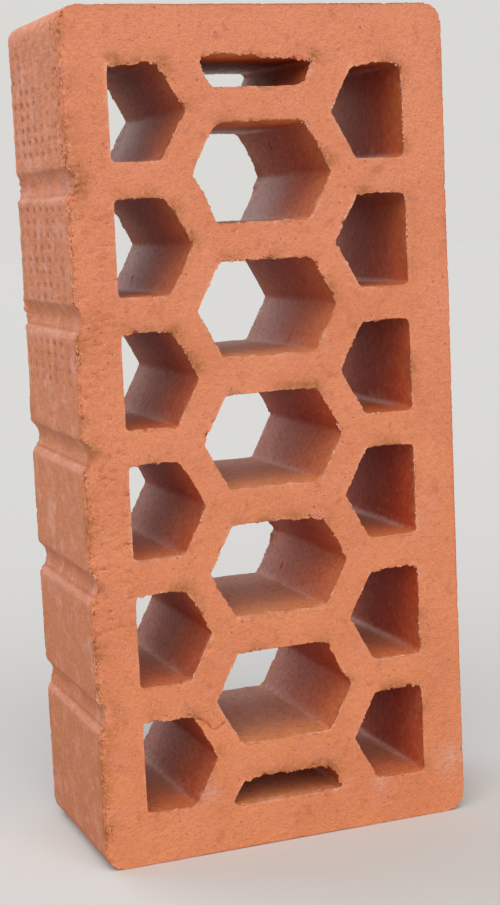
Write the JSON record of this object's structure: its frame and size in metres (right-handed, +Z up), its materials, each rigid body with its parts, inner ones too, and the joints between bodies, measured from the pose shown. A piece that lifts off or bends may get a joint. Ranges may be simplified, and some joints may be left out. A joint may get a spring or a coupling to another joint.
{
  "type": "clay brick",
  "caption": "Extruded perforated clay brick with a honeycomb of through holes and keying grooves down one stretcher face.",
  "frame": {"origin": "middle of the lower end face, where the brick stands on the floor", "axes": "+Z up along the brick's length, +X across its width towards the plain stretcher face (the grooved one is at -X), +Y along its height as laid, which is the direction of the perforation"},
  "size_m": [0.108, 0.054, 0.228],
  "materials": {
    "fired_clay": "matte fired red clay, wire-cut and dusty"
  },
  "bodies": {
    "root": {"brick": "fired_clay"}
  },
  "joints": []
}
